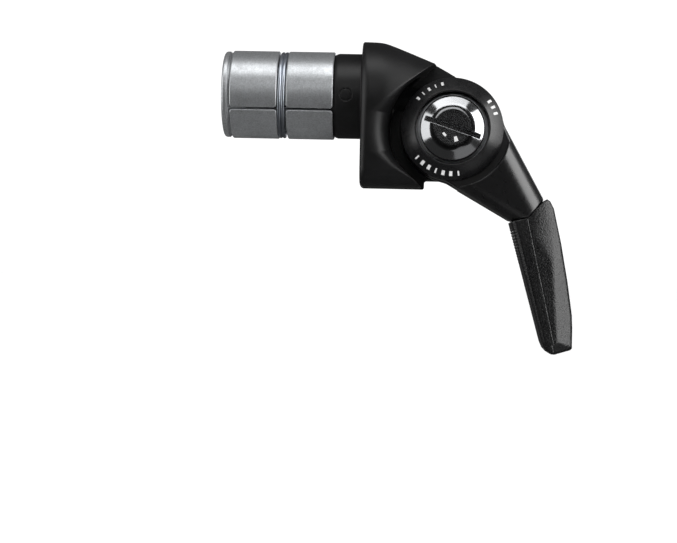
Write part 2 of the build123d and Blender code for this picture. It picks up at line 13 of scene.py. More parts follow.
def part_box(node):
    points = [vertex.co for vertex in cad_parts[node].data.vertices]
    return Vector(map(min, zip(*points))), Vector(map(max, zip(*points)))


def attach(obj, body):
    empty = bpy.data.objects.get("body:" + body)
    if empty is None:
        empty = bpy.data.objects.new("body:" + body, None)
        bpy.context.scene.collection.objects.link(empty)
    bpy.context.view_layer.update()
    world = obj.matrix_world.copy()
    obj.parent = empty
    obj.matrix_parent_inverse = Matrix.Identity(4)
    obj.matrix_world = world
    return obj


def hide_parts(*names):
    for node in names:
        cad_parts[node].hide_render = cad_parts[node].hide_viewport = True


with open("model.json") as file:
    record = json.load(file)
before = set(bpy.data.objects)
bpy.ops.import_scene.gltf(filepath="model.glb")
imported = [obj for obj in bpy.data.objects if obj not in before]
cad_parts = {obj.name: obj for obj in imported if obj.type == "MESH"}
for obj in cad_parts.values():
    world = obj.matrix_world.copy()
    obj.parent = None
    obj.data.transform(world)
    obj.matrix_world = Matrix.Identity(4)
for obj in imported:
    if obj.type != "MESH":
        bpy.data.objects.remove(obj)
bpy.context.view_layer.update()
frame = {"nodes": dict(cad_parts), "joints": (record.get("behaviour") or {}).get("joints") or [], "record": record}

MM = 0.001
NODES = frame["nodes"]
LEVER_JOINT = next(j for j in frame["joints"] if j["name"] == "lever_swing")
PX, PZ = LEVER_JOINT["pos_m"][0] / MM, LEVER_JOINT["pos_m"][2] / MM
scene = bpy.context.scene


def corner(node, which, axis):
    """One coordinate, in millimetres, of a CAD node's box: which is 0 for low and 1 for high."""
    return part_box(node)[which][axis] / MM


# ---- solid shapes from distance fields -----------------------------------------------------------
# A field is a numpy array of signed distances in millimetres, negative inside.
class Points:
    """Coordinates at which a field is measured, as arrays that broadcast together."""

    def __init__(self, x, y, z):
        self.x, self.y, self.z = x, y, z


def both(a, b, r=0.0):
    """Intersection with an edge radius."""
    if np.max(r) <= 0:
        return np.maximum(a, b)
    return np.minimum(-r, np.maximum(a, b)) + np.hypot(np.maximum(a + r, 0), np.maximum(b + r, 0))


def either(a, b, r=0.0):
    """Union with a fillet radius."""
    return -both(-a, -b, r)


def cut(a, b, r=0.0):
    return both(a, -b, r)


def disc_in(u, v, cu, cv, r):
    return np.hypot(u - cu, v - cv) - r


def slab(u, low, high):
    return np.maximum(low - u, u - high)


def side_of(u, v, a, b):
    """Distance to the left of the line from a to b, negative on its right."""
    length = math.hypot(b[0] - a[0], b[1] - a[1])
    return ((b[0] - a[0]) * (v - a[1]) - (b[1] - a[1]) * (u - a[0])) / length


def hull_of_two(u, v, a, ra, b, rb):
    """Region under a tight belt around two circles."""
    du, dv = b[0] - a[0], b[1] - a[1]
    h = du * du + dv * dv
    qx = np.abs((u - a[0]) * -dv + (v - a[1]) * du) / h
    qy = ((u - a[0]) * du + (v - a[1]) * dv) / h
    diff = ra - rb
    cx = np.sqrt(h - diff * diff)
    k, m, n = cx * qy - diff * qx, cx * qx + diff * qy, qx * qx + qy * qy
    near_a = np.sqrt(h * n) - ra
    near_b = np.sqrt(np.maximum(h * (n + 1 - 2 * qy), 0)) - rb
    return np.where(k < 0, near_a, np.where(k > cx, near_b, m - ra))


def direction(angle):
    return math.cos(math.radians(angle)), math.sin(math.radians(angle))


def sector(u, v, start, end):
    """Wedge between two directions less than 180 degrees apart, seen from the origin."""
    a, b = direction(start), direction(end)
    return np.maximum(u * a[1] - v * a[0], v * b[0] - u * b[1])


def skin(name, low, high, step, field):
    """Turns a field over a box into a smooth closed mesh whose points and normals follow it exactly."""
    axes = [np.arange(a, b + step, step) for a, b in zip(low, high)]
    grid_points = Points(axes[0][:, None, None], axes[1][None, :, None], axes[2][None, None, :])
    values = np.broadcast_to(field(grid_points), [len(a) for a in axes])
    band = 3 * step
    grid = openvdb.FloatGrid(band)
    grid.copyFromArray(np.ascontiguousarray(np.clip(values, -band, band), dtype=np.float32))
    points, quads = grid.convertToQuads(0.0)
    points = points.astype(np.float64) * step + np.array(low)

    def slope_at(p):
        e = 0.15 * step
        slopes = []
        for axis in range(3):
            shift = np.zeros(3)
            shift[axis] = e
            ahead, behind = (p + shift).T, (p - shift).T
            slopes.append((field(Points(*ahead)) - field(Points(*behind))) / (2 * e))
        return np.stack(slopes, axis=1)

    for _ in range(2):
        slopes = slope_at(points)
        squared = np.maximum((slopes**2).sum(axis=1), 0.2)
        move = -slopes * (field(Points(*points.T)) / squared)[:, None]
        length = np.linalg.norm(move, axis=1, keepdims=True)
        points += move * np.minimum(1, 0.6 * step / np.maximum(length, 1e-9))
    normals = slope_at(points)
    normals /= np.maximum(np.linalg.norm(normals, axis=1, keepdims=True), 1e-9)
    a, b, d = (points[quads[:, k]] for k in (0, 1, 3))
    outwards = np.sum(np.cross(b - a, d - a) * normals[quads[:, 0]]) > 0
    return mesh_object(name, points, quads if outwards else quads[:, ::-1], normals)


def mesh_object(name, points, quads, normals=None):
    """Object from arrays of points, in millimetres, and of quads."""
    mesh = bpy.data.meshes.new(name)
    mesh.vertices.add(len(points))
    mesh.vertices.foreach_set("co", (np.asarray(points) * MM).astype(np.float32).ravel())
    mesh.loops.add(4 * len(quads))
    mesh.loops.foreach_set("vertex_index", np.asarray(quads).astype(np.int32).ravel())
    mesh.polygons.add(len(quads))
    mesh.polygons.foreach_set("loop_start", np.arange(0, 4 * len(quads), 4, dtype=np.int32))
    mesh.polygons.foreach_set("use_smooth", np.ones(len(quads), dtype=bool))
    mesh.update(calc_edges=True)
    if normals is not None:
        mesh.normals_split_custom_set_from_vertices(normals)
    obj = bpy.data.objects.new(name, mesh)
    scene.collection.objects.link(obj)
    return obj


def lathe(name, outline, place, steps=160):
    """Turns a closed outline of (radius, height) pairs. place maps radius, angle and height to a point."""
    outline = np.array(outline)
    angles = np.arange(steps) * (2 * math.pi / steps)
    r, h = np.tile(outline[:, 0], (steps, 1)), np.tile(outline[:, 1], (steps, 1))
    a = angles[:, None] + 0 * r
    points = np.stack(place(r, a, h), axis=2).reshape(-1, 3)
    n = len(outline)
    i, j = np.meshgrid(np.arange(steps), np.arange(n), indexing="ij")
    i2, j2 = (i + 1) % steps, (j + 1) % n
    quads = np.stack([i * n + j, i * n + j2, i2 * n + j2, i2 * n + j], axis=2).reshape(-1, 4)
    obj = mesh_object(name, points, quads)
    square_up(obj)
    return obj


def square_up(obj, angle=32.0):
    """Merges doubled points, turns the faces outwards and marks the sharp edges."""
    bm = bmesh.new()
    bm.from_mesh(obj.data)
    bmesh.ops.remove_doubles(bm, verts=bm.verts, dist=1e-7)
    bmesh.ops.recalc_face_normals(bm, faces=bm.faces)
    bm.to_mesh(obj.data)
    bm.free()
    obj.data.set_sharp_from_angle(angle=math.radians(angle))


def on_pivot(r, a, h):
    """Lathe placement about the lever's pivot; height runs towards the lever side."""
    return PX + r * np.cos(a), -h, PZ + r * np.sin(a)


def on_bar(r, a, h):
    """Lathe placement about the bar axis; height runs along +X and angle 0 faces the lever side."""
    return h, -r * np.cos(a), r * np.sin(a)


def rounded(outline, radii, steps=4):
    """Rounds the corners of a closed outline."""
    result = []
    for k, (corner_point, radius) in enumerate(zip(outline, radii)):
        p = np.array(corner_point)
        if radius <= 0:
            result.append(p)
            continue
        to_last = np.array(outline[k - 1]) - p
        to_next = np.array(outline[(k + 1) % len(outline)]) - p
        to_last, to_next = to_last / np.linalg.norm(to_last), to_next / np.linalg.norm(to_next)
        half = math.acos(to_last @ to_next) / 2
        middle = (to_last + to_next) / np.linalg.norm(to_last + to_next)
        centre = p + middle * (radius / math.sin(half))
        across = (to_next - to_last) / np.linalg.norm(to_next - to_last)
        for t in np.linspace(half - math.pi / 2, math.pi / 2 - half, steps + 1):
            result.append(centre + radius * (across * math.sin(t) - middle * math.cos(t)))
    return result


def dress(piece, body, slot, *nodes):
    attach(piece, body)
    if nodes:
        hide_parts(*nodes)
    piece.data.materials.clear()
    piece.data.materials.append(MATERIALS[slot])


# ---- materials -----------------------------------------------------------------------------------
class Nodes:
    """Short way to build a material's node tree on object coordinates, in metres of the shared frame."""

    def __init__(self, name):
        self.material = bpy.data.materials.new(name)
        self.material.use_nodes = True
        self.tree = self.material.node_tree
        self.shader = self.tree.nodes["Principled BSDF"]
        self.place = self.tree.nodes.new("ShaderNodeTexCoord").outputs["Object"]

    def add(self, kind, **inputs):
        node = self.tree.nodes.new(kind)
        for key, value in inputs.items():
            self.feed(node.inputs[key.replace("_", " ")], value)
        return node

    def feed(self, socket, value):
        if isinstance(value, bpy.types.NodeSocket):
            self.tree.links.new(value, socket)
        else:
            socket.default_value = value

    def noise(self, size_mm, detail=3.0, roughness=0.55):
        """Noise from 0 to 1 whose features are about this many millimetres wide."""
        noise = self.add("ShaderNodeTexNoise", Vector=self.place, Detail=detail, Roughness=roughness)
        noise.inputs["Scale"].default_value = 1 / (size_mm * MM)
        return noise.outputs[0]

    def span(self, value, low, high, new_low, new_high):
        node = self.add("ShaderNodeMapRange", Value=value)
        for index, number in zip((1, 2, 3, 4), (low, high, new_low, new_high)):
            node.inputs[index].default_value = number
        return node.outputs[0]

    def uneven(self, noise, low, high):
        """Spreads a noise, which stays mostly between 0.3 and 0.7, over a range of roughness."""
        return self.span(noise, 0.3, 0.7, low, high)

    def blend(self, factor, a, b):
        node = self.tree.nodes.new("ShaderNodeMix")
        node.data_type = "RGBA"
        self.feed(node.inputs[0], factor)
        self.feed(node.inputs[6], (*a, 1) if isinstance(a, tuple) else a)
        self.feed(node.inputs[7], (*b, 1) if isinstance(b, tuple) else b)
        return node.outputs[2]

    def sum(self, a, b, weight=1.0):
        scaled = self.add("ShaderNodeMath")
        scaled.operation = "MULTIPLY"
        self.feed(scaled.inputs[0], b)
        scaled.inputs[1].default_value = weight
        total = self.add("ShaderNodeMath")
        total.operation = "ADD"
        self.feed(total.inputs[0], a)
        self.feed(total.inputs[1], scaled.outputs[0])
        return total.outputs[0]

    def rings(self, pitch_mm, centre, axis):
        """Fine turning marks around an axis, jittered by noise so that they don't look printed."""
        moved = self.add("ShaderNodeMapping", Vector=self.place)
        moved.inputs["Location"].default_value = tuple(-c * MM for c in centre)
        scale = 2 * math.pi / (20 * pitch_mm * MM)
        wave = self.add("ShaderNodeTexWave", Vector=moved.outputs[0], Scale=scale)
        wave.wave_type = "RINGS"
        wave.rings_direction = axis
        wave.inputs["Distortion"].default_value = 1.5
        wave.inputs["Detail"].default_value = 2.0
        wave.inputs["Detail Scale"].default_value = 3.0
        return wave.outputs["Fac"]

    def bump(self, height, depth_mm, strength=1.0):
        bump = self.add("ShaderNodeBump", Height=height, Strength=strength, Distance=depth_mm * MM)
        self.tree.links.new(bump.outputs[0], self.shader.inputs["Normal"])

    def set(self, **inputs):
        for key, value in inputs.items():
            self.feed(self.shader.inputs[key.replace("_", " ")], value)


def base_color(slot):
    return tuple(next(m for m in frame["record"]["materials"] if m["slot"] == slot)["base_color"])


def shade(color, factor):
    return tuple(c * factor for c in color)


PIVOT_LINE = (PX, 0, PZ)


def coated_black():
    """Pod: satin coating with a fine grain."""
    n = Nodes("pod_black")
    color = base_color("pod_black")
    broad, grain = n.noise(6.0), n.noise(0.22, detail=2.0)
    n.set(Base_Color=n.blend(broad, shade(color, 0.2), shade(color, 0.4)), IOR=1.42)
    n.set(Roughness=n.sum(n.uneven(broad, 0.36, 0.42), grain, 0.06))
    n.bump(grain, 0.012, 0.5)
    return n.material


def gloss_black():
    """Lever: gloss black over a forging, with a faint orange peel."""
    n = Nodes("lever_black")
    color = base_color("lever_black")
    peel, fine = n.noise(1.4, detail=2.0), n.noise(0.15)
    n.set(Base_Color=n.blend(n.noise(8.0), shade(color, 0.2), shade(color, 0.4)), IOR=1.65)
    n.set(Roughness=n.sum(n.uneven(peel, 0.26, 0.3), fine, 0.02))
    n.set(Coat_Weight=0.1, Coat_Roughness=0.2)
    n.bump(peel, 0.004, 0.12)
    return n.material


def ring_black():
    """Cover ring: black anodised, with fine turning marks."""
    n = Nodes("ring_black")
    color = base_color("ring_black")
    turning, cloud = n.rings(0.16, PIVOT_LINE, "Y"), n.noise(2.5)
    n.set(Base_Color=n.blend(cloud, shade(color, 0.12), shade(color, 0.25)), IOR=1.55)
    n.set(Roughness=n.sum(n.uneven(cloud, 0.24, 0.3), turning, 0.05))
    n.bump(turning, 0.003, 0.35)
    return n.material


def polished():
    """Fixing bolt: polished and turned."""
    n = Nodes("polished_bolt")
    color = base_color("polished_bolt")
    turning, cloud = n.rings(0.11, PIVOT_LINE, "Y"), n.noise(1.2)
    n.set(Base_Color=n.blend(cloud, shade(color, 0.5), shade(color, 0.56)), Metallic=1.0)
    n.set(Roughness=n.sum(n.uneven(cloud, 0.09, 0.13), turning, 0.05))
    n.bump(turning, 0.001, 0.3)
    return n.material


def turned_metal():
    """Boss cap: turned face whose fine rings throw a radial highlight."""
    n = Nodes("turned_aluminium")
    color = base_color("turned_aluminium")
    turning, cloud = n.rings(0.1, PIVOT_LINE, "Y"), n.noise(1.5)
    n.set(Base_Color=n.blend(cloud, shade(color, 0.93), shade(color, 1.08)))
    n.set(Metallic=1.0, Anisotropic=0.75)
    n.set(Roughness=n.sum(n.uneven(cloud, 0.26, 0.33), turning, 0.06))
    tangent = n.tree.nodes.new("ShaderNodeTangent")
    tangent.direction_type = "RADIAL"
    tangent.axis = "Y"
    n.tree.links.new(tangent.outputs[0], n.shader.inputs["Tangent"])
    n.bump(turning, 0.002, 0.4)
    return n.material


def tumbled_metal():
    """Expander segments and wedge: tumbled aluminium with a visible grain."""
    n = Nodes("tumbled_aluminium")
    color = base_color("tumbled_aluminium")
    grain, pits, cloud = n.noise(0.3, detail=4.0), n.noise(0.9, detail=2.0), n.noise(5.0)
    mottle = n.sum(n.sum(grain, cloud, 0.5), pits, 0.4)
    spread = n.span(mottle, 0.6, 1.3, 0, 1)
    n.set(Base_Color=n.blend(spread, shade(color, 0.58), shade(color, 1.04)), Metallic=0.9)
    n.set(Roughness=n.span(mottle, 0.6, 1.3, 0.44, 0.32))
    n.bump(n.sum(grain, pits, 0.8), 0.02, 0.35)
    return n.material


def plain_steel(name, tint=(1.0, 1.0, 1.0), rough=0.26, streak=0.35):
    """Ground or drawn metal with fine scratches and slight stains."""
    n = Nodes(name)
    color = tuple(c * t for c, t in zip(base_color(name), tint))
    fine, cloud = n.noise(0.12, detail=3.0), n.noise(2.0)
    n.set(Base_Color=n.blend(cloud, shade(color, 0.8), shade(color, 1.12)), Metallic=1.0)
    n.set(Roughness=n.sum(n.uneven(cloud, rough, rough + 0.08), fine, 0.08))
    n.bump(fine, 0.006, streak)
    return n.material


def grained_resin():
    """Grip: black resin with a fine moulded grain."""
    n = Nodes("grip_resin")
    color = base_color("grip_resin")
    grain, cloud = n.noise(0.36, detail=2.0, roughness=0.6), n.noise(5.0)
    speckle = n.span(grain, 0.35, 0.7, 0, 1)
    n.set(Base_Color=n.blend(speckle, shade(color, 0.1), shade(color, 0.4)), IOR=1.5)
    n.set(Roughness=n.sum(n.uneven(cloud, 0.2, 0.26), grain, 0.1))
    n.bump(grain, 0.12, 0.8)
    return n.material


def mark_paint():
    """Printed marks: white ink, slightly uneven."""
    n = Nodes("mark_paint")
    cloud = n.noise(0.5)
    n.set(Base_Color=n.blend(cloud, (0.34, 0.34, 0.34), (0.5, 0.5, 0.5)))
    n.set(Roughness=n.uneven(cloud, 0.45, 0.6))
    n.bump(cloud, 0.01, 0.3)
    return n.material


MATERIALS = {
    "pod_black": coated_black(),
    "lever_black": gloss_black(),
    "ring_black": ring_black(),
    "polished_bolt": polished(),
    "turned_aluminium": turned_metal(),
    "tumbled_aluminium": tumbled_metal(),
    "spring_wire": plain_steel("spring_wire", tint=(0.92, 0.97, 1.04), rough=0.24, streak=0.06),
    "steel": plain_steel("steel"),
    "bush_brass": plain_steel("bush_brass", rough=0.32),
    "grip_resin": grained_resin(),
}
MARK_PAINT = mark_paint()

# ---- pod -----------------------------------------------------------------------------------------
COLLAR_R, NECK_R, NECK_END = 12.5, 9.7, -13.4
TAPER, TAPER_START, TAPER_BLEND = 0.4, 4.9, 1.5
BULGE_Z, BULGE_R, BULGE_FRONT, BULGE_BACK, BULGE_SPREAD = -16.3, 4.5, -5.0, 4.5, 0.01
RAMP_ANGLE = math.radians(25)
RAMP_SLOPE, RAMP_COS = math.tan(RAMP_ANGLE), 0.906
RAMP_R, RAMP_START = 9.3, -6.3
ARM_CORNER = (17.3, 7.6)
ARM_END_R, ARM_FRONT, ARM_BACK, ARM_BACK_EDGE = 11.0, 3.8, 11.8, 3.4
ARM_TOUCH = direction(56.9)
ARM_ROOT, ARM_HEEL = (5.0, COLLAR_R), ((14.6, -12.5), (9.5, -7.0))
ARM_BELT, ARM_BELT_R = (7.3, -14.2), 4.5
NOTCH_X, NOTCH_Z = 14.7, -18.7
POCKET_R, POCKET_FAR, POCKET_FAR_R = 14.2, 60.0, 53.4
MARK_X, MARK_Z, MARK_R, MARK_HALF, MARK_DEPTH = -3.4, -0.65, 1.3, 0.2, 0.13
BOLT_BORE_R, ACCESS_R, ACCESS_START = 3.4, 4.6, -5.0
PORT_Y, PORT_Z, PORT_R, PORT_DEPTH = -2.0, -17.7, 2.6, 7.5
CABLE_HOLE_R = 0.9
BOSS_BORE_R, CAP_POCKET_R, CAP_POCKET_Y = 3.5, 6.4, 8.0


def collar(s):
    """Round collar that tapers away from the bar, with the bulge for the cable housing below it."""
    taper = s.x - TAPER_START
    radius = COLLAR_R - TAPER * (taper + np.hypot(taper, TAPER_BLEND)) / 2
    front, back = (BULGE_FRONT, BULGE_Z), (BULGE_BACK, BULGE_Z)
    shell = hull_of_two(s.y, s.z, (0, 0), radius, front, BULGE_R)
    shell = np.minimum(shell, hull_of_two(s.y, s.z, (0, 0), radius, back, BULGE_R))
    # The bulge's floor is a hair deeper at its back
    shell = np.minimum(shell, hull_of_two(s.y, s.z, front, BULGE_R, back, BULGE_R + BULGE_SPREAD))
    edge = 0.5 + 1.7 * np.clip(np.abs(s.y) / COLLAR_R, 0, 1) ** 2
    return both(shell, -s.x, edge)


def pivot_arm(s, u, v, top_line):
    """Arm behind the lever, with a round end about the pivot."""
    touch = (ARM_END_R * ARM_TOUCH[0], ARM_END_R * ARM_TOUCH[1])
    chord = -side_of(u, v, (0, -ARM_END_R), touch)
    blade = np.maximum(np.maximum(top_line, chord), -ARM_END_R - v)
    blade = both(blade, -side_of(s.x, s.z, ARM_CORNER, ARM_ROOT), 0.3)
    arm = np.minimum(np.hypot(u, v) - ARM_END_R, blade)
    arm = both(arm, side_of(s.x, s.z, *ARM_HEEL), 1.5)
    arm = np.maximum(arm, 2.0 - s.x)
    belt = hull_of_two(s.y, s.z, (0, 0), COLLAR_R, ARM_BELT, ARM_BELT_R)
    arm = both(both(arm, s.y - ARM_BACK, ARM_BACK_EDGE), belt, 2.0)
    return np.maximum(arm, ARM_FRONT - s.y)


def neck(s, around):
    """Stub that enters the bar, with the cone that the segments climb."""
    stub = both(around - NECK_R, slab(s.x, NECK_END, 1.0), 0.2)
    return both(stub, (around - RAMP_R - (s.x - RAMP_START) * RAMP_SLOPE) * RAMP_COS, 0.1)


def pod_field(s):
    u, v = s.x - PX, s.z - PZ
    top_line = u * ARM_TOUCH[0] + v * ARM_TOUCH[1] - ARM_END_R
    shell = both(collar(s), top_line, 0.3)
    pod = either(shell, pivot_arm(s, u, v, top_line), 2.5)
    # The fillet between them doesn't stand out of the collar's round
    pod = np.maximum(pod, np.hypot(s.y, np.maximum(s.z, 0)) - COLLAR_R)
    pod = cut(pod, both(NOTCH_X - s.x, s.z - NOTCH_Z, 0.6), 0.5)
    # Round pocket for the hub, crisp where it opens upwards and soft beside the hub
    pocket = hull_of_two(s.x, s.z, (PX, PZ), POCKET_R, (PX + POCKET_FAR, PZ), POCKET_FAR_R)
    lower, above_foot = np.clip((4.5 - s.z) / 9.0, 0, 1), np.clip((s.z + 19.0) / 6.0, 0, 1)
    pod = cut(pod, np.maximum(pocket, s.y - ARM_FRONT), 0.2 + 5.0 * lower**2 * above_foot)
    around = np.hypot(s.y, s.z)
    pod = either(pod, neck(s, around), 0.25)
    # Round mark on the neck
    mark = np.abs(disc_in(s.x, s.z, MARK_X, MARK_Z, MARK_R)) - MARK_HALF
    pod = cut(pod, np.maximum(both(mark, NECK_R - MARK_DEPTH - around, 0.03), s.y), 0.05)
    # Passages for the expander bolt and its key, the cable and the boss
    pod = np.maximum(pod, -np.maximum(around - BOLT_BORE_R, s.x))
    pod = cut(pod, np.maximum(around - ACCESS_R, ACCESS_START - s.x), 0.3)
    port = np.hypot(s.y - PORT_Y, s.z - PORT_Z)
    pod = cut(pod, np.maximum(port - PORT_R, s.x - PORT_DEPTH), 0.25)
    pod = np.maximum(pod, CABLE_HOLE_R - port)
    from_pivot = np.hypot(u, v)
    pod = np.maximum(pod, BOSS_BORE_R - from_pivot)
    return cut(pod, np.maximum(from_pivot - CAP_POCKET_R, CAP_POCKET_Y - s.y), 0.35)


pod_shell = skin("pod_shell", (-14.2, -13.4, -21.6), (32.4, 13.4, 13.4), 0.22, pod_field)
dress(pod_shell, "pod", "pod_black", "pod_body")

# ---- lever arm -----------------------------------------------------------------------------------
HUB_R, HUB_BACK, HUB_FRONT = 11.6, -3.2, 7.0
ARM_TOP, ARM_MID, ARM_LOW = (41.98, -22.89), (38.1, -27.2), (34.46, -28.03)
ARM_MID_Y, ARM_HALF, ARM_THINNING, ARM_THIN_START = -1.0, 8.0, 0.2, 13.2
THINNING_COS = 0.98  # evens out the field of a face with this slope
TOP_NORMAL, TOP_EDGE, TOP_EDGE_R = direction(30.3), 10.8, 5.2
LOW_NORMAL, LOW_EDGE, LOW_EDGE_R = direction(-120.2), 10.6, 3.0
FRONT_STEP_R, BACK_STEP_R = 13.1, 13.2
GROOVE_R, GROOVE_OUT_R, GROOVE_BACK, GROOVE_FRONT = 9.4, 12.4, 0.7, 3.3
GROOVE_ANGLES = (165, 300)
BUSH_BORE_R, PLATE_POCKET_R, PLATE_POCKET = 4.95, 9.72, 3.8
STOP_SLOT_R, STOP_SLOT_HALF, STOP_SLOT_FLOOR = 7.9, 1.0, -1.4
SEAT_Y, SEAT_OFFSET, SEAT_R, SEAT_FLOOR = -2.0, 10.3, 2.3, 4.8
SEAT_START = (PX + SEAT_OFFSET * TOP_NORMAL[1], PZ - SEAT_OFFSET * TOP_NORMAL[0])


def arm_end(s):
    """Distance past the V-shaped end of the arm."""
    return both(-side_of(s.x, s.z, ARM_MID, ARM_TOP), -side_of(s.x, s.z, ARM_LOW, ARM_MID), 0.3)


def arm_plate(s, u, v):
    """Arm between its two edges, which thins towards the grip."""
    top_edge = u * TOP_NORMAL[0] + v * TOP_NORMAL[1] - TOP_EDGE
    low_edge = u * LOW_NORMAL[0] + v * LOW_NORMAL[1] - LOW_EDGE
    along = (u - v) * math.sqrt(0.5)
    thinned = ARM_THINNING * (along - ARM_THIN_START)
    arm = both((np.abs(s.y - ARM_MID_Y) - ARM_HALF + thinned) * THINNING_COS, top_edge, TOP_EDGE_R)
    arm = both(arm, low_edge, LOW_EDGE_R)
    arm = both(arm, arm_end(s), 0.45)
    return np.maximum(arm, -along)


def stop_slot(u, v, r):
    """Quarter ring with round ends that the stop pin runs in."""
    slot = np.maximum(np.abs(r - STOP_SLOT_R) - STOP_SLOT_HALF, sector(u, v, 90, 179.9))
    for place in ((0, STOP_SLOT_R), (-STOP_SLOT_R, 0)):
        slot = np.minimum(slot, disc_in(u, v, *place, STOP_SLOT_HALF))
    return slot


def arm_field(s):
    u, v, n = s.x - PX, s.z - PZ, -s.y
    r = np.hypot(u, v)
    arm = cut(arm_plate(s, u, v), np.maximum(r - FRONT_STEP_R, HUB_FRONT - n), 0.22)
    arm = cut(arm, np.maximum(r - BACK_STEP_R, n - HUB_BACK), 0.3)
    hub = both(both(r - HUB_R, n - HUB_FRONT, 0.9), HUB_BACK - n, 0.3)
    body = either(hub, arm, 0.4)
    # Cable groove, bores and stop slot
    groove = np.maximum(slab(r, GROOVE_R, GROOVE_OUT_R), slab(n, GROOVE_BACK, GROOVE_FRONT))
    body = cut(body, np.maximum(groove, sector(u, v, *GROOVE_ANGLES)), 0.2)
    body = np.maximum(body, BUSH_BORE_R - r)
    body = np.maximum(body, -np.maximum(r - PLATE_POCKET_R, PLATE_POCKET - n))
    body = np.maximum(body, -np.maximum(stop_slot(u, v, r), n - STOP_SLOT_FLOOR))
    # Stepped seat for the cable's head, square to the top edge
    from_start_x, from_start_z = s.x - SEAT_START[0], s.z - SEAT_START[1]
    out = from_start_x * TOP_NORMAL[0] + from_start_z * TOP_NORMAL[1]
    off = from_start_x * TOP_NORMAL[1] - from_start_z * TOP_NORMAL[0]
    hole = np.hypot(off, s.y - SEAT_Y)
    body = cut(body, np.maximum(hole - SEAT_R, SEAT_FLOOR - out), 0.3)
    return np.maximum(body, -np.maximum(hole - CABLE_HOLE_R, -out))


arm_forging = skin("arm_forging", (7.6, -10.0, -29.2), (42.8, 8.0, 5.4), 0.22, arm_field)
dress(arm_forging, "lever", "lever_black", "lever_arm")

# ---- grip ----------------------------------------------------------------------------------------
GRIP_OUTLINE = (
    (34.02, -27.3), (38.5, -24.6), (41.7, -23.1), (42.5, -22.85), (43.2, -23.3), (44.1, -24.9), (46.0, -32.8),
    (47.7, -41.4), (48.9, -49.0), (49.05, -52.0), (49.05, -56.5), (48.7, -56.9), (45.0, -57.95), (44.2, -57.9),
    (43.3, -57.4), (42.5, -56.5), (41.9, -55.2), (38.1, -41.7),
)
SEAM = ((38.1, -27.2), (45.2, -57.6))
CREASE = ((43.6, -31.5), (45.35, -54.6))
GRIP_HALF, GRIP_THINNING, GRIP_TOP = 5.7, 0.022, -27.0
BAND_CROWN, BAND_MIDDLE = 0.02, 3.6
INNER_SLOPE, INNER_COS, INNER_STEP = 0.2, 0.98, 0.4
OUTER_SLOPE, OUTER_COS, OUTER_STEP = 0.75, 0.8, 0.25
CREASE_DROP = 0.15
TIP_X, TIP_Z, TIP_DEPTH, TIP_NORMAL = 45.4, -54.8, 4.7, (0.4225, -0.446, 0.789)
RIB_PITCH, RIB_DEPTH, RIB_LEAN, RIBS_LOW, RIBS_HIGH = 0.72, 0.12, 0.27, -37.5, -29.5
SEAM_DROP, SEAM_R = 0.3, 0.18


def polygon(u, v, corners):
    """Signed distance to a polygon."""
    nearest = np.full(np.broadcast(u, v).shape, 1e9)
    inside = np.full(nearest.shape, 1.0)
    for k, (ax, ay) in enumerate(corners):
        bx, by = corners[k - 1]
        ex, ey = bx - ax, by - ay
        wx, wy = u - ax, v - ay
        t = np.clip((wx * ex + wy * ey) / (ex * ex + ey * ey), 0, 1)
        nearest = np.minimum(nearest, (wx - ex * t) ** 2 + (wy - ey * t) ** 2)
        flip = np.where(v >= ay, 1, 0) + np.where(v < by, 1, 0) + np.where(ex * wy > ey * wx, 1, 0)
        inside = np.where((flip == 3) | (flip == 0), -inside, inside)
    return np.sqrt(nearest) * inside


def grip_field(s):
    """Crowned band, then two flat facets that fall away to the right edge, alike on both sides."""
    outline = polygon(s.x, s.z, GRIP_OUTLINE)
    depth = np.abs(s.y - ARM_MID_Y)
    half = GRIP_HALF + (s.z - GRIP_TOP) * GRIP_THINNING
    from_seam = -side_of(s.x, s.z, SEAM[1], SEAM[0])
    from_crease = -side_of(s.x, s.z, CREASE[1], CREASE[0])
    crease_depth = half - CREASE_DROP - INNER_SLOPE * (from_seam - from_crease)
    band = depth - half + BAND_CROWN * (from_seam + BAND_MIDDLE) ** 2
    inner = (depth - half + INNER_STEP + INNER_SLOPE * from_seam) * INNER_COS
    outer = (depth - crease_depth + OUTER_STEP + OUTER_SLOPE * from_crease) * OUTER_COS
    body = both(band, inner, 0.3)
    body = both(body, outer, 0.25 + 1.6 * np.clip((s.z + 37.0) / 6.0, 0, 1))
    # Slanted facet at the tip, right of the seam
    tip = TIP_NORMAL[0] * (s.x - TIP_X) + TIP_NORMAL[1] * (s.z - TIP_Z)
    tip = tip + TIP_NORMAL[2] * (depth - TIP_DEPTH)
    body = both(body, np.minimum(tip, 0.7 * from_seam + 0.3), 0.2)
    # Fine ribs on the left edge
    ribs = RIB_DEPTH * np.cos(2 * math.pi * (s.z - RIB_LEAN * s.x) / RIB_PITCH)
    on_ribs = np.clip((s.z - RIBS_LOW) * 2, 0, 1) * np.clip((RIBS_HIGH - s.z) * 2, 0, 1)
    on_ribs = on_ribs * np.clip(-from_seam - 3.2, 0, 1)
    body = both(body, outline + ribs * on_ribs, 0.7 + 0.9 * np.clip(-from_seam / 3.0, 0, 1))
    body = both(body, 0.06 - arm_end(s), 0.25)
    seam_line = np.hypot(from_seam, depth - half + SEAM_DROP) - SEAM_R
    return cut(body, seam_line, 0.06)


grip_shell = skin("grip_shell", (33.6, -7.4, -58.6), (49.8, 5.4, -22.2), 0.16, grip_field)
dress(grip_shell, "lever", "grip_resin", "lever_grip")

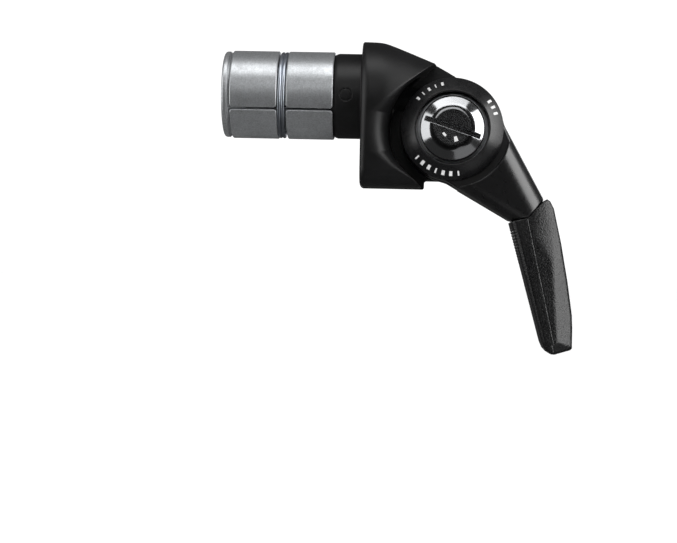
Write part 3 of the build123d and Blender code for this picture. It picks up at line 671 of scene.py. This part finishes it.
# ---- cover ring and bolt -------------------------------------------------------------------------
RING_R, RING_LIP_R, RING_BORE_R = 11.5, 8.46, 8.1
RING_BACK, RING_RIM, RING_TOP = 7.02, 7.6, 10.6
SKIRT_R, SKIRT_BORE_R, SKIRT_END = 9.68, 8.9, 6.0
RING_OUTLINE = rounded(
    [(SKIRT_BORE_R, SKIRT_END), (SKIRT_R, SKIRT_END), (SKIRT_R, RING_BACK), (RING_R, RING_BACK),
     (RING_R, RING_RIM), (RING_LIP_R, RING_TOP), (RING_BORE_R, RING_TOP), (RING_BORE_R, 7.0),
     (SKIRT_BORE_R, 7.0)],
    [0, 0, 0, 0.1, 0.14, 0.08, 0.08, 0, 0],
)
dress(lathe("ring_cover", RING_OUTLINE, on_pivot, 192), "lever", "ring_black", "cover_ring")

HEAD_R, HEAD_TOP, HEAD_FLAT_R, HEAD_BACK = 7.25, 11.9, 4.7, 8.6
HEAD_SLOPE, HEAD_COS = 0.726, 0.809
DISH_R, DISH_CENTRE = 146.96, 146.9  # a shallow sphere, with its centre this far above the head
SLOT_ANGLE, SLOT_HALF, SLOT_DEPTH = -18.0, 0.55, 1.3


def bolt_field(s):
    """Bolt in its own frame: x along the slot, y across it, z outwards."""
    r = np.hypot(s.x, s.y)
    cone = (s.z - HEAD_TOP + HEAD_SLOPE * (r - HEAD_FLAT_R)) * HEAD_COS
    head = both(r - HEAD_R, cone, 0.12)
    head = both(head, s.z - HEAD_TOP, 0.5)
    head = np.maximum(head, HEAD_BACK - s.z)
    dish = np.sqrt(r**2 + (s.z - HEAD_TOP - DISH_CENTRE) ** 2) - DISH_R
    head = cut(head, dish, 0.1)
    slot = np.maximum(np.abs(s.y) - SLOT_HALF, HEAD_TOP - SLOT_DEPTH - s.z)
    return cut(head, slot, 0.09)


def build_bolt():
    bolt = skin("bolt_head", (-7.5, -7.5, 8.3), (7.5, 7.5, 12.2), 0.075, bolt_field)
    shank_outline = [(0.01, -4.0), (2.2, -4.0), (2.5, -3.7), (2.5, 8.62), (0.01, 8.62)]
    shank = lathe("bolt_shank", shank_outline, on_pivot, 48)
    turn = Matrix.Translation((PX * MM, 0, PZ * MM)) @ Matrix.Rotation(math.radians(90), 4, "X")
    turn = turn @ Matrix.Rotation(math.radians(SLOT_ANGLE), 4, "Z")
    bolt.data.transform(turn)
    return bolt, shank


for piece in build_bolt():
    dress(piece, "pod", "polished_bolt", "fixing_bolt")


def mark_piece(name, patches, surface):
    """Raised ink patches on a turned surface. Each is a centre angle, a width angle and two radii."""
    points, quads = [], []
    for angle, width, low, high in patches:
        start = len(points)
        for lift in (-0.02, 0.02):
            for i in range(4):
                a = math.radians(angle + width * (i / 3 - 0.5))
                for r in (low, high):
                    points.append(on_pivot(r, a, surface(r) + lift))
        for i in range(3):
            a, b, c, d = (start + 2 * i + k for k in (0, 1, 3, 2))
            quads += [(a, b, c, d), (a + 8, d + 8, c + 8, b + 8), (a, d, d + 8, a + 8), (b, b + 8, c + 8, c)]
        for i, j in ((0, 1), (7, 6)):
            quads.append((start + i, start + i + 8, start + j + 8, start + j))
    obj = mesh_object(name, points, quads)
    square_up(obj)
    return obj


def dish_height(r):
    return HEAD_TOP + DISH_CENTRE - math.sqrt(DISH_R**2 - r**2)


def cone_height(r):
    return RING_RIM + (RING_R - r) * (RING_TOP - RING_RIM) / (RING_R - RING_LIP_R)


ring_marks = [(140 - 9 * i, 1.4 if i % 2 else 3.0, 9.7, 10.55) for i in range(5)]
ring_marks += [(37 - 8.5 * i, 3.4, 9.65, 10.65) for i in range(3)]
ring_marks += [(-81 - 9.7 * i, 4.0 if i % 3 else 2.0, 9.65, 10.65) for i in range(7)]
marks = mark_piece("ring_marks", ring_marks, cone_height)
dress(marks, "lever", "ring_black")
marks.data.materials[0] = MARK_PAINT
bolt_marks = mark_piece("bolt_marks", [(-137, 22, 2.2, 2.7), (-74, 16, 2.2, 3.3)], dish_height)
dress(bolt_marks, "pod", "polished_bolt")
bolt_marks.data.materials[0] = MARK_PAINT

# ---- expander ------------------------------------------------------------------------------------
SEGMENT_R, SEGMENT_LEFT, SEGMENT_RIGHT = 10.0, -29.6, -6.3
SEGMENT_BORE_R, CONE_ROOM = 6.2, 0.4
GROOVE_LEFT, GROOVE_RIGHT, WEB_R, WEB_STEP = -18.95, -16.85, 8.25, 0.4
BEAD_ROOM_R, BEAD_ROOM_TAPER, BEAD_ROOM_DEPTH = 9.7, 0.21, 0.95
GAP_ANGLES, GAP_HALF = (-144.5, 95.5, -24.5), 0.225


def segment_field(middle):
    """One third of the expander's sleeve, about a middle direction in degrees."""
    a = math.radians(middle)

    def field(s):
        u = -s.y * math.cos(a) + s.z * math.sin(a)
        v = s.y * math.sin(a) + s.z * math.cos(a)
        r = np.hypot(s.y, s.z)
        gap = np.abs(v) * 0.5 - u * math.sqrt(0.75) + GAP_HALF

        def block(low, high):
            return both(both(gap, slab(s.x, low, high), 0.7), r - SEGMENT_R, 0.3)

        blocks = np.minimum(block(SEGMENT_LEFT, GROOVE_LEFT), block(GROOVE_RIGHT, SEGMENT_RIGHT))
        web = np.maximum(gap, slab(s.x, SEGMENT_LEFT + WEB_STEP, SEGMENT_RIGHT - WEB_STEP))
        shell = np.minimum(blocks, np.maximum(web, r - WEB_R))
        depth = np.minimum(s.x - SEGMENT_LEFT, SEGMENT_RIGHT - s.x)
        cone = (RAMP_R + CONE_ROOM - depth * RAMP_SLOPE - r) * RAMP_COS
        # Room at the left end for the wedge's bead
        into = s.x - SEGMENT_LEFT
        bead_room = np.minimum(BEAD_ROOM_R - BEAD_ROOM_TAPER * into - r, BEAD_ROOM_DEPTH - into)
        return np.maximum(shell, np.maximum(np.maximum(SEGMENT_BORE_R - r, cone), bead_room))

    return field


for number, gap_angle in enumerate(GAP_ANGLES, start=1):
    node = f"expander_segment_{number}"
    low = [corner(node, 0, axis) - 0.4 for axis in range(3)]
    high = [corner(node, 1, axis) + 0.4 for axis in range(3)]
    piece = skin(f"segment_shell_{number}", low, high, 0.17, segment_field(gap_angle + 60))
    dress(piece, f"segment_{number}", "tumbled_aluminium", node)

WEDGE_R, WEDGE_RAMP_R, WEDGE_TIP_R, WEDGE_DISH_R, WEDGE_BORE_R = 9.8, 9.58, 6.129, 6.5, 3.03
WEDGE_END, WEDGE_DISH_FLOOR, WEDGE_BEAD_END, WEDGE_TIP = -31.5, -30.9, -30.2, -22.8
WEDGE_OUTLINE = rounded(
    [(WEDGE_BORE_R, WEDGE_DISH_FLOOR), (WEDGE_DISH_R, WEDGE_DISH_FLOOR), (WEDGE_DISH_R, WEDGE_END),
     (WEDGE_R, WEDGE_END), (WEDGE_R, WEDGE_BEAD_END), (WEDGE_RAMP_R, WEDGE_BEAD_END),
     (WEDGE_TIP_R, WEDGE_TIP), (WEDGE_BORE_R, WEDGE_TIP)],
    [0, 0.2, 0.15, 0.6, 0.2, 0, 0.3, 0],
)
dress(lathe("wedge_turned", WEDGE_OUTLINE, on_bar), "wedge", "tumbled_aluminium", "wedge_plug")

KEY_SIZE, KEY_EDGE = (4.0, 0.3, 2.5), 0.06
KEY_X, KEY_R = -28.1, 8.25


def build_key():
    """Key on the wedge that runs in the gap between two segments."""
    bm = bmesh.new()
    bmesh.ops.create_cube(bm, size=1.0)
    bmesh.ops.scale(bm, verts=bm.verts, vec=[side * MM for side in KEY_SIZE])
    bmesh.ops.bevel(bm, geom=bm.edges, offset=KEY_EDGE * MM, segments=2, affect="EDGES")
    mesh = bpy.data.meshes.new("wedge_key")
    bm.to_mesh(mesh)
    bm.free()
    a = math.radians(GAP_ANGLES[2])
    place = Vector((KEY_X, -KEY_R * math.cos(a), KEY_R * math.sin(a))) * MM
    mesh.transform(Matrix.Translation(place) @ Matrix.Rotation(math.pi / 2 - a, 4, "X"))
    key = bpy.data.objects.new("wedge_key", mesh)
    scene.collection.objects.link(key)
    return key


dress(build_key(), "wedge", "tumbled_aluminium", "wedge_plug")


WIRE_TURNS, WIRE_PITCH, WIRE_START = 2, 0.84, math.radians(200)
WIRE_R, WIRE_RING_R = 0.41, 9.45


def build_spring():
    """Close-wound ring of wire with two cut ends."""
    steps, side = 72 * WIRE_TURNS, 18
    t = np.linspace(0, WIRE_TURNS, steps + 1)
    angle = 2 * math.pi * t + WIRE_START
    x = (GROOVE_LEFT + GROOVE_RIGHT) / 2 + (t - WIRE_TURNS / 2) * WIRE_PITCH
    round_wire = np.arange(side) * (2 * math.pi / side)
    r = WIRE_RING_R + WIRE_R * np.cos(round_wire)[None, :]
    a = angle[:, None] + 0 * r
    along = x[:, None] + WIRE_R * np.sin(round_wire)[None, :]
    points = np.stack(on_bar(r, a, along), axis=2).reshape(-1, 3)
    i, j = np.meshgrid(np.arange(steps), np.arange(side), indexing="ij")
    j2 = (j + 1) % side
    corners = [i * side + j, i * side + j2, (i + 1) * side + j2, (i + 1) * side + j]
    quads = np.stack(corners, axis=2).reshape(-1, 4)
    obj = mesh_object("wire_ring", points, quads)
    bm = bmesh.new()
    bm.from_mesh(obj.data)
    bmesh.ops.holes_fill(bm, edges=[e for e in bm.edges if e.is_boundary], sides=0)
    bm.to_mesh(obj.data)
    bm.free()
    square_up(obj, 50)
    return obj


dress(build_spring(), "spring", "spring_wire", "expander_spring")

# ---- CAD nodes that stay -------------------------------------------------------------------------
for part in frame["record"]["subparts"]:
    obj = NODES[part["node"]]
    for index in range(len(obj.material_slots)):
        obj.material_slots[index].material = MATERIALS[part["material_slot"]]

# ---- camera --------------------------------------------------------------------------------------
camera_data = bpy.data.cameras.new("camera")
camera = bpy.data.objects.new("camera", camera_data)
scene.collection.objects.link(camera)
scene.camera = camera
camera_data.lens, camera_data.sensor_width = 78.1, 36
camera_data.clip_start, camera_data.clip_end = 0.01, 20
eye, aim = Vector((0.012, -0.3376, -0.0403)), Vector((-0.0045, 0, -0.0403))
roll = math.radians(1.4)
forward = (aim - eye).normalized()
up = Vector((-math.sin(roll), 0, math.cos(roll)))
right = forward.cross(up).normalized()
up = right.cross(forward)
camera.matrix_world = Matrix.Translation(eye) @ Matrix((right, up, -forward)).transposed().to_4x4()


# ---- studio --------------------------------------------------------------------------------------
LIT_POINT = Vector((0.005, 0, -0.015))


def softbox(name, azimuth, elevation, width, height, power, distance=0.45):
    """Area light that faces the object, in metres and watts. Azimuth 0 is the lever's side, 90 is +X."""
    a, e = math.radians(azimuth), math.radians(elevation)
    out = Vector((math.sin(a) * math.cos(e), -math.cos(a) * math.cos(e), math.sin(e)))
    data = bpy.data.lights.new(name, "AREA")
    data.shape = "RECTANGLE"
    data.size, data.size_y = width, height
    data.energy = power
    light = bpy.data.objects.new(name, data)
    light.location = LIT_POINT + out * distance
    light.rotation_mode = "QUATERNION"
    light.rotation_quaternion = out.to_track_quat("Z", "Y")
    light.visible_camera = False
    scene.collection.objects.link(light)


softbox("top", -4, 65, 0.55, 0.24, 1.0)
softbox("left", -73, 8, 0.34, 0.46, 0.85)
softbox("right", 73, 13, 0.34, 0.44, 2.0)
softbox("back_top", 180, 12, 0.6, 0.16, 0.4, distance=0.6)
softbox("low", 50, -45, 0.12, 0.08, 0.008, distance=0.13)
softbox("front", -2, 21, 0.2, 0.16, 0.1)


AMBIENT = 1.12
GLOW_DARK, GLOW_BRIGHT = 0.004, 0.06


def build_world():
    """Even white light. Reflections see a dark room instead, darkest on the lever's side."""
    world = bpy.data.worlds.new("studio")
    scene.world = world
    world.use_nodes = True
    tree = world.node_tree
    path = tree.nodes.new("ShaderNodeLightPath")
    where = tree.nodes.new("ShaderNodeTexCoord")
    split = tree.nodes.new("ShaderNodeSeparateXYZ")
    tree.links.new(where.outputs["Generated"], split.inputs[0])
    glow = tree.nodes.new("ShaderNodeMapRange")
    glow.interpolation_type = "SMOOTHSTEP"
    tree.links.new(split.outputs["Y"], glow.inputs[0])
    for index, number in zip((1, 2, 3, 4), (-0.9, -0.2, GLOW_DARK, GLOW_BRIGHT)):
        glow.inputs[index].default_value = number
    pick = tree.nodes.new("ShaderNodeMix")
    tree.links.new(path.outputs["Is Glossy Ray"], pick.inputs[0])
    pick.inputs[2].default_value = AMBIENT
    tree.links.new(glow.outputs[0], pick.inputs[3])
    background = tree.nodes["Background"]
    background.inputs["Color"].default_value = (1, 1, 1, 1)
    tree.links.new(pick.outputs[0], background.inputs["Strength"])


build_world()


def build_floor():
    """Pale paper under the object, which its glossy parts don't reflect."""
    bpy.ops.mesh.primitive_plane_add(size=30, location=(0, 0, -0.13))
    floor = bpy.context.object
    floor.name = "floor"
    n = Nodes("floor_paper")
    n.set(Base_Color=n.blend(n.noise(300.0), (0.97, 0.97, 0.97), (0.99, 0.99, 0.99)), Roughness=0.9)
    floor.data.materials.append(n.material)
    floor.visible_glossy = False


build_floor()
scene.view_settings.view_transform = "Standard"
